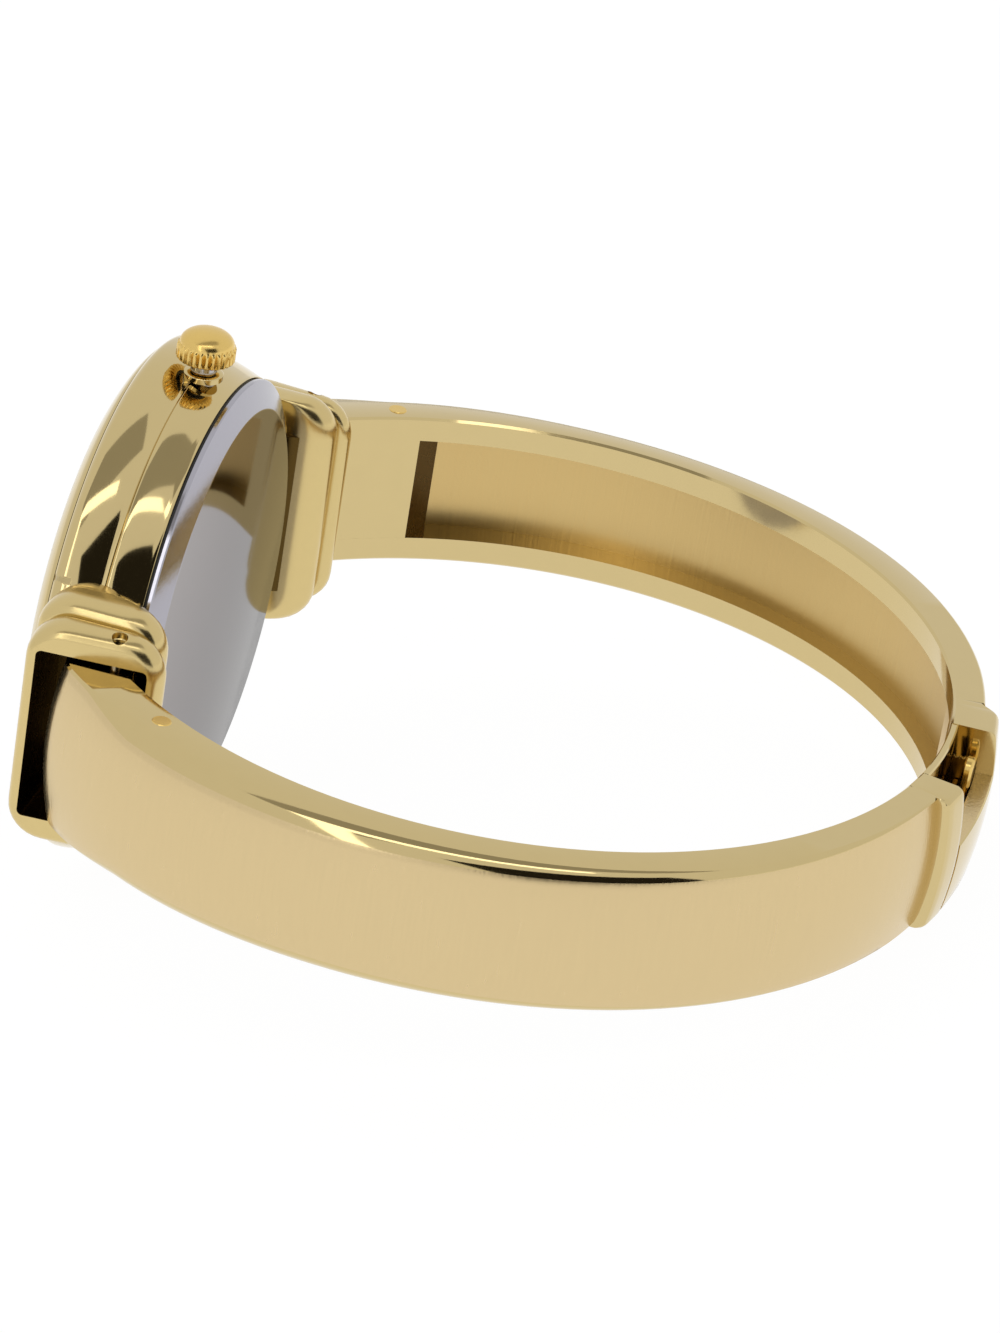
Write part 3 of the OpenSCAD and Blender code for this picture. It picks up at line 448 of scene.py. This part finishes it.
def pocket_floor(hz):
    return next(y for level, y in POCKET_FLOORS if hz > level)


def slanted(y, hz, share=1):
    """A y that leans with the level, as the mouth of the lug does."""
    return y + share * MOUTH_SLANT * (hz - LUG_MIDDLE)


def lug_shape(side):
    rings = []
    for k, (y, low, inset) in enumerate(RIB_ROWS):
        ring = box_ring(RIB_HALF - inset, low + inset, RIB_DIAL - inset, LUG_ROUND - inset)
        reach = RIB_FOOT_R + RIB_FOOT_STEP * k
        rings.append([from_head(hx, side * max(y, math.sqrt(reach ** 2 - hx ** 2)), hz) for hx, hz in ring])
    for y, inset, share in HOOD_ROWS:
        ring = box_ring(HOOD_HALF - inset, HOOD_WRIST + inset, HOOD_DIAL - inset, LUG_ROUND - inset)
        rings.append([from_head(hx, side * slanted(y, hz, share), hz) for hx, hz in ring])
    pocket = box_ring(POCKET_HALF, POCKET_WRIST, POCKET_DIAL, POCKET_ROUND)
    for y in (MOUTH_Y, MOUTH_Y - 0.12):
        rings.append([from_head(hx, side * slanted(y, hz), hz) for hx, hz in pocket])
    rings.append([from_head(hx, side * pocket_floor(hz), hz) for hx, hz in pocket])
    inside = len(RIB_ROWS) + len(HOOD_ROWS) + 1
    shape = Shape()
    # The pocket's walls and floor take the near-black gold: painted shade inside the pocket
    shape.loft(rings, lambda k, i: 1 if k >= inside else 0, caps=(0, None))
    close_pocket(shape, len(pocket))
    return shape


def close_pocket(shape, count):
    """Closes the last ring with strips across it, each between points at equal levels."""
    first = len(shape.points) - count
    middle = CORNER_STEPS + (EDGE_POINTS + 1) // 2
    for i in range(middle - count // 2, middle):
        strip = [first + j % count for j in (i, i + 1, 2 * middle - 1 - i, 2 * middle - i)]
        shape.faces.append(tuple(dict.fromkeys(strip)))
        # These strips close the pocket's floor in the near-black gold, painted shade
        shape.kinds.append(1)


# Arms: an arched band with bevelled edges, hollow on the wrist side, with a round nose at the pin
def half_width(x):
    share = (CLASP_EDGE_X - x) / (CLASP_EDGE_X - LUG_END_X)
    return HALF_CLASP + (HALF_LUG - HALF_CLASP) * clamp(share)


def inner_radius(angle):
    return INNER_SHIFT * cos(angle) + math.sqrt(INNER_R ** 2 - (INNER_SHIFT * sin(angle)) ** 2)


def swell(angle):
    """How far the arm's outer line leaves a circle, from edges seen in the photograph."""
    return -0.19 * cos(4 * angle) * clamp((130 - angle) / 20)


def bevel_growth(angle):
    """Share of the full bevel: it grows from the clasp to the lug and fades at the nose."""
    return clamp((angle - 20) / 75) * clamp((131 - angle) / 9, 0.05)


# Strips of an arm's section: 0 polished, 1 satin, 2 the floor of the hollow, whose darker, more orange satin is
# painted shade
BAND_KINDS = [1] * 8 + [0] * 8 + [2] + [0] * 8 + [1] * 9


def section(place, middle, arch, inner, hollow, bevel_z, bevel_r, scoop):
    """One section of a band: an arched outer face, bevels, flat edges, lips and the hollow between them.
    bevel_z and bevel_r are the bevel's size along Z and the radius, scoop is how far it is hollowed."""
    def half(r):
        return half_width(place(r)[0])

    def outer(z):
        return middle - arch + math.sqrt(arch ** 2 - z ** 2)

    top = half(middle)
    flat = top - bevel_z
    upper = [(outer(flat * s), flat * s) for s in spread(1 / 17, 1, 8)]
    start, edge = upper[-1], (outer(top) - bevel_r, top)
    for t in (0.25, 0.5, 0.75):
        sag = 4 * t * (1 - t) * scoop
        upper.append((start[0] * (1 - t) + edge[0] * t - sag, start[1] * (1 - t) + edge[1] * t - sag))
    lip = half(inner)
    upper += [edge, (inner + 0.14, lip), (inner, lip - 0.14), (inner, lip - LIP)]
    upper.append((hollow, half(hollow) - LIP))
    points = upper + [(r, -z) for r, z in reversed(upper)]
    return [(*place(r), z) for r, z in points]


def arm_shape(side, start):
    rings = []

    def add_band(angle, hollow):
        grow = bevel_growth(angle)
        rings.append(section(lambda r: (r * cos(angle), side * r * sin(angle)), ARM_R + swell(angle),
                             ARM_ARCH, inner_radius(angle), hollow,
                             0.1 + 0.85 * grow, 0.08 + 0.7 * grow, -0.1 * grow))

    def add_nose(turn):
        def place(r):
            x, y = on_circle(max(r - PIN_RADIUS, 0), PIN_ANGLE + turn)
            return (x - PIN_DEPTH, side * (y + PIN_Y))
        rings.append(section(place, ARM_R, ARM_ARCH, PIN_RADIUS, HOLLOW_R, 0.14, 0.11, 0.005))

    for angle in spread(start, HOLLOW_START, 3):
        add_band(angle, inner_radius(angle))
    for angle in spread(HOLLOW_START, PIN_ANGLE, 56):
        add_band(angle, HOLLOW_R)
    for turn in spread(0, 90, 12)[1:]:
        add_nose(turn)
    shape = Shape()
    shape.loft(rings, lambda k, i: BAND_KINDS[i])
    for low in (HALF_LUG - LIP - 0.1, 0.1 - HALF_LUG):
        drum(shape, (-PIN_DEPTH, side * PIN_Y), KNUCKLE_R, low, low + LIP - 0.1)
    return shape


def block_shape(side):
    """The solid block in the arm's end, with a slanted end wall towards the clasp, painted near-black gold as
    painted shade.
    """
    line = [on_circle(BLOCK_R, a) for a in spread(BLOCK_FLOOR_ANGLE, PIN_ANGLE, 14)]
    for t in spread(0, 90, 9):
        x, y = on_circle(BLOCK_NOSE_R, PIN_ANGLE + t)
        line.append((x - PIN_DEPTH, y + PIN_Y))
    line += [on_circle(inner_radius(a), a) for a in spread(PIN_ANGLE, BLOCK_ANGLE, 14)]
    shape = Shape()
    rings = [[(x, side * y, level * (half_width(x) - LIP)) for x, y in line] for level in (-1, 1)]
    # The end wall strip takes the near-black gold: painted shade
    shape.loft(rings, lambda k, i: 1 if i == len(line) - 1 else 0)
    return shape


def cross_pin_shape(side):
    x, y = on_circle(CROSS_PIN_RADIUS, CROSS_PIN_ANGLE)
    reach = half_width(x) + 0.05
    shape = Shape()
    drum(shape, (x, side * y), CROSS_PIN_R, -reach, reach, 0.08)
    return shape


# Clasp: raised end piece, notched housing and thumb tab
def clasp_ring(angle, drop=0.0, middle=CLASP_R, arch=CLASP_ARCH):
    inner = inner_radius(angle)
    return section(lambda r: on_circle(r, angle), middle - drop, arch, inner, inner, *CLASP_BEVEL)


def end_piece_shape():
    """Raised end of the 6 o'clock arm, from rows of the angle and how far its top lies lower there."""
    rows = ((END_PIECE_START, 0.7), (14.48, 0.42), (14.36, 0.2), (14.1, 0.07), (13.6, 0.01), (13, 0), (12, 0),
            (11, 0), (10.4, 0), (10.2, 0.04), (10.12, 0.12))
    shape = Shape()
    shape.loft([clasp_ring(-angle, drop) for angle, drop in rows])
    return shape


def notch_ring(angle):
    """Section of the housing beside the slot: inner skin, slot, outer wall up to the sloping notch floor."""
    inner, top = inner_radius(angle), half_width(NOTCH_MIDDLE_R * cos(angle))
    notch = NOTCH_Z - NOTCH_SLOPE * (SHOULDER - angle)

    def outer(z):
        return CLASP_R - CLASP_ARCH + math.sqrt(CLASP_ARCH ** 2 - z ** 2)

    points = [(outer(z) - (0.16 if z < 0.3 - top else 0), z) for z in spread(-top, notch - 0.1, 9)]
    points += [(outer(notch) - 0.08, notch), (SLOT_R, notch), (SLOT_R, SLOT_LOW), (SKIN_R, SLOT_LOW),
               (SKIN_R, top - 0.1), (SKIN_R - 0.08, top), (inner + 0.08, top), (inner, top - 0.1),
               (inner, 0.1 - top), (inner + 0.1, -top)]
    return [(*on_circle(r, angle), z) for r, z in points]


def add_ledge(shape):
    """The small ledge with a rough top before the housing's shoulder."""
    teeth = [(LEDGE_X + LEDGE_PITCH * i, LEDGE_Z + (0.05 if i % 2 else -0.04) + (0.03 if i % 3 else 0))
             for i in range(LEDGE_TEETH)]
    slab = [(LEDGE_X, SLOT_LOW)] + teeth + [(teeth[-1][0], SLOT_LOW)]
    # The ledge's sides and ends take the dark brown gold, painted shade of the slot
    shape.loft([[(x, y, z) for x, z in slab] for y in (LEDGE_Y, LEDGE_Y + 0.04, LEDGE_Y + 0.48)],
               lambda k, i: 0 if 1 <= i < LEDGE_TEETH else 2, caps=(2, 2))


def housing_shape():
    """Notched housing on the 12 o'clock arm. Its raised end fades into the arm."""
    shape = Shape()
    notch_floor = 10
    shape.loft([notch_ring(angle) for angle in spread(0.1 - PARTING, SHOULDER + 0.1, 16)],
               lambda k, i: 1 if i == notch_floor else 0)
    add_ledge(shape)
    rings = [clasp_ring(SHOULDER, 0.05), clasp_ring(SHOULDER + 0.08, 0.01), clasp_ring(SHOULDER + 0.25)]
    rings += [clasp_ring(angle) for angle in spread(SHOULDER + 0.8, HOUSING_FADE, 5)]
    foot = ARM_R + swell(HOUSING_END)
    for t in spread(0.125, 1, 7):
        ease = t * t * (3 - 2 * t)
        angle = HOUSING_FADE + (HOUSING_END - HOUSING_FADE) * t
        rings.append(clasp_ring(angle, 0, CLASP_R + (foot - CLASP_R) * ease,
                                CLASP_ARCH + (ARM_ARCH - CLASP_ARCH) * ease))
    shape.loft(rings)
    return shape


def tab_shape():
    """Folded leaf of the thumb spring, with its rounded tab."""
    fold = ((LEAF_T, 0.02), (LEAF_T - 0.03, -0.15), (0.05, -0.31), (-0.1, -0.35), (-0.25, -0.31),
            (-0.4, -0.18), (-0.42, -0.1), (-0.2, -0.08), (-0.1, -0.12), (0, -0.03))
    leaf = [(SPRING_X + LEAF_T, TONGUE_REACH)] + [(SPRING_X + x, FOLD_Y + y) for x, y in fold]
    leaf.append((SPRING_X, TONGUE_REACH))
    shape = Shape()
    shape.loft([[(x, y, z) for x, y in leaf] for z in (SPRING_LOW, SPRING_HIGH)])
    middle, half = TONGUE_REACH - TAB_W / 2, TAB_W / 2
    rings = []
    for x, inset in ((27.98, 0.22), (28.02, 0.09), (28.12, 0), (28.42, 0), (28.53, 0.08), (28.58, 0.22)):
        radius = half - inset
        arch = [(x, middle - radius * cos(a), TAB_TOP - half + radius * sin(a)) for a in spread(0, 180, 16)]
        rings.append([(x, middle - radius, TAB_FOOT)] + arch + [(x, middle + radius, TAB_FOOT)])
    shape.loft(rings)
    return shape


# Case back, bezel and glass
def back_shape():
    shape = Shape()
    profile = [(0, BACK_FLAT), (BACK_FLAT_R, BACK_FLAT), (BACK_FLAT_R + 0.08, BACK_FLAT + 0.02),
               (BACK_R - 0.07, BACK_FLAT + 0.66), (BACK_R, BACK_FLAT + 0.74), (BACK_R, BACK_EDGE - 0.2),
               (BACK_SNAP_R, BACK_EDGE - 0.2), (BACK_SNAP_R, BACK_EDGE + 0.7),
               (DIAL_BORE_R, BACK_EDGE + 0.7), (DIAL_BORE_R, BACK_FLAT + 0.75), (0, BACK_FLAT + 0.75)]
    shape.turn(profile, kinds=lambda k, i: 1 if 1 <= i <= 4 else 0)
    return shape


def bezel_shape():
    shape = Shape()
    foot = CASE_FRONT + 0.02
    profile = [(BEZEL_BORE_R + 0.05, BEZEL_FRONT), (BEZEL_BORE_R, BEZEL_FRONT - 0.05), (BEZEL_BORE_R, foot)]
    profile += [(CASE_R - 0.6 - 1.6 * t ** 1.5, foot + 0.98 * t) for t in spread(0, 1, 12)]
    shape.turn(profile)
    return shape


def crystal_shape():
    shape = Shape()
    low, rim = CASE_FRONT + 0.05, CASE_FRONT + 0.95
    dome = [((CRYSTAL_R - 0.3) * cos(a), rim + 0.45 * sin(a)) for a in spread(0, 90, 12)]
    shape.turn([(0, low), (CRYSTAL_R - 0.08, low), (CRYSTAL_R, low + 0.08), (CRYSTAL_R, rim - 0.08),
                (CRYSTAL_R - 0.08, rim)] + dome)
    return shape


# Crown and its tube, turned about the head's X
def crown_point(x, radius, angle):
    return from_head(x, radius * sin(angle), STEM_Z + radius * cos(angle))


def crown_shape():
    """Fluted crown with a domed top, from rows of the place on its axis, the radius and the flutes' depth."""
    flutes, points_per_flute = 28, 6
    foot, side = CROWN_FOOT, CROWN_FOOT + 0.95
    rows = [(foot + 0.78, CROWN_BORE_R, 0), (foot, CROWN_BORE_R, 0), (foot, 1.52, 0.05),
            (foot + 0.06, 1.66, 0.1), (foot + 0.16, CROWN_R, 0.16), (side - 0.1, CROWN_R, 0.16),
            (side, CROWN_R - 0.03, 0.13), (side + 0.07, 1.64, 0.04)]
    rows += [(side + 0.07 + 0.9 * sin(t), 1.62 * cos(t) ** 0.9, 0) for t in spread(4, 89, 14)]
    rings = []
    for x, radius, depth in rows:
        rings.append([crown_point(x, radius - depth * (0.5 + 0.5 * cos(flutes * a)) ** 2, a)
                      for a in spread(0, 360, flutes * points_per_flute)[:-1]])
    shape = Shape()
    shape.loft(rings)
    return shape


def tube_shape():
    """Steel tube with a gold collar."""
    collar, top = COLLAR_FOOT, CROWN_FOOT + 0.25
    rows = [(TUBE_FOOT, TUBE_BORE_R), (TUBE_FOOT, TUBE_R), (collar, TUBE_R), (collar, COLLAR_R),
            (collar + 0.3, COLLAR_R), (collar + 0.4, COLLAR_R - 0.08), (collar + 0.45, COLLAR_R - 0.25),
            (collar + 0.48, TUBE_R), (top, TUBE_R), (top, TUBE_BORE_R)]
    rings = [[crown_point(x, r, a) for a in spread(0, 360, 64)[:-1]] for x, r in rows + rows[:1]]
    shape = Shape()
    shape.loft(rings, lambda k, i: 1 if 2 <= k <= 6 else 0, caps=(None, None))
    return shape


# The pieces of one side, 6 o'clock at -1 and 12 o'clock at 1
def add_lug(side, end):
    lug = add_piece("lug_" + end, lug_shape(side), "case", ["case_middle"],
                    [cast_gold, painted_shade_gold])
    holes = []
    for low in (HOOD_HALF - PIN_RECESS, -HOOD_HALF - 1):
        hole = Shape()
        drum(hole, (-PIN_DEPTH, side * PIN_Y), PIN_HOLE_R, low, low + 1 + PIN_RECESS)
        holes.append(hole)
    drill(lug, holes)


def add_arm(side, end, start):
    arm, block, pin = "arm_" + end, "hinge_block_" + end, "block_pin_" + end
    add_piece("band_" + end, arm_shape(side, start), arm, [arm], [gold, satin, shaded_hollow_satin], 30)
    add_piece("block_" + end, block_shape(side), arm, [block], [gold, painted_shade_gold])
    add_piece("cross_pin_" + end, cross_pin_shape(side), arm, [pin], [deep_gold])


def add_pieces():
    add_piece("case", case_shape(), "case", ["case_middle"], [gold])
    add_piece("back", back_shape(), "case", ["case_back"], [steel, steel_ring], 20)
    add_piece("bezel_ring", bezel_shape(), "case", ["bezel"], [gold], 25)
    add_piece("glass", crystal_shape(), "case", ["crystal"], [glass])
    add_piece("crown_head", crown_shape(), "crown", ["crown"], [deep_gold], 40)
    add_piece("tube", tube_shape(), "case", ["crown_tube"], [steel, gold])
    for side, end, start in ((-1, "six", END_PIECE_START - 0.3), (1, "twelve", HOUSING_END - 0.4)):
        add_lug(side, end)
        add_arm(side, end, start)
    add_piece("end_piece", end_piece_shape(), "arm_six", ["clasp_end_piece"], [gold], 30)
    add_piece("housing", housing_shape(), "arm_twelve", ["clasp_housing"],
              [gold, satin, shaded_gold], 30)
    add_piece("thumb_tab", tab_shape(), "thumb_spring", ["thumb_spring"], [deep_gold])


# Camera at the photograph's viewing angle
def add_camera():
    azimuth, elevation, roll = 11.205, 27.497, 9.543
    distance, lens = 322.97, 197.14
    target = Vector((0.013, 0.617, 1.154))
    back = Vector((sin(azimuth) * cos(elevation), -cos(azimuth) * cos(elevation), sin(elevation)))
    right = Vector((cos(azimuth), sin(azimuth), 0))
    up = back.cross(right)
    turn = Matrix((right * cos(roll) + up * sin(roll), up * cos(roll) - right * sin(roll), back)).transposed()
    data = bpy.data.cameras.new("camera")
    data.lens = lens
    data.sensor_width = 36
    data.sensor_fit = "HORIZONTAL"
    data.clip_start = 0.01
    data.clip_end = 5
    camera = bpy.data.objects.new("camera", data)
    bpy.context.scene.collection.objects.link(camera)
    camera.matrix_world = CUFF @ Matrix.Translation((target + back * distance) * MM) @ turn.to_4x4()
    bpy.context.scene.camera = camera


# Floor and cards
def emitter(name, color, strength, share=1.0):
    """A material of which a share glows. The rest is plain matt white."""
    m = bpy.data.materials.new(name)
    m.use_nodes = True
    nodes, links = m.node_tree.nodes, m.node_tree.links
    shader = nodes["Principled BSDF"]
    shader.inputs["Base Color"].default_value = (0.9, 0.9, 0.9, 1)
    shader.inputs["Roughness"].default_value = 0.8
    light = nodes.new("ShaderNodeEmission")
    light.inputs["Color"].default_value = (*color, 1)
    light.inputs["Strength"].default_value = strength
    blend = nodes.new("ShaderNodeMixShader")
    blend.inputs[0].default_value = share
    links.new(shader.outputs[0], blend.inputs[1])
    links.new(light.outputs[0], blend.inputs[2])
    links.new(blend.outputs[0], nodes["Material Output"].inputs[0])
    return m


def add_card(name, centre, facing, width, height, m, seen=False):
    """A flat card in row-frame metres that faces a point. Unless seen, it shows only as a reflection."""
    mesh = bpy.data.meshes.new(name)
    w, h = width / 2, height / 2
    mesh.from_pydata([(-w, -h, 0), (w, -h, 0), (w, h, 0), (-w, h, 0)], [], [(0, 1, 2, 3)])
    mesh.materials.append(m)
    card = bpy.data.objects.new(name, mesh)
    bpy.context.scene.collection.objects.link(card)
    turn = (facing - centre).to_track_quat("Z", "Y").to_matrix().to_4x4()
    card.matrix_world = Matrix.Translation(centre) @ turn
    card.visible_camera = seen


def from_angles(azimuth, elevation, distance):
    """A point round the cuff, in row-frame metres; azimuth 0 is on the 6 o'clock side."""
    flat = distance * cos(elevation)
    return CUFF @ Vector((flat * sin(azimuth), -flat * cos(azimuth), distance * sin(elevation)))


def add_studio():
    """A white floor, a white world, and round the cuff a dark card, a grey one and two bright strips."""
    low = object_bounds()[0][2]
    floor = emitter("floor_white", (1, 1, 1), 1.03, 0.93)
    add_card("floor", Vector((0, 0, low)), Vector((0, 0, 1)), 3, 3, floor, seen=True)
    middle = CUFF @ Vector((0, 0, 0))
    dark = emitter("card_dark", (0.02, 0.018, 0.015), 1)
    bright = emitter("card_bright", (1, 1, 1), 2.5)
    grey = emitter("card_grey", (0.40, 0.39, 0.37), 1)
    add_card("card_dark", from_angles(36, 26, 0.45), middle, 0.38, 0.33, dark)
    add_card("card_over", from_angles(0, 79, 0.43), middle, 0.55, 0.19, grey)
    add_card("strip_left", from_angles(-17, 30, 0.45), middle, 0.05, 0.4, bright)
    add_card("strip_over", from_angles(0, 62, 0.42), middle, 0.36, 0.05, bright)
    world = bpy.data.worlds.new("world")
    bpy.context.scene.world = world
    world.use_nodes = True
    sky = world.node_tree.nodes["Background"]
    sky.inputs["Color"].default_value = (1, 1, 1, 1)
    sky.inputs["Strength"].default_value = 0.86


bpy.context.scene.view_settings.view_transform = "Standard"
dress_nodes()
add_pieces()
add_camera()
add_studio()
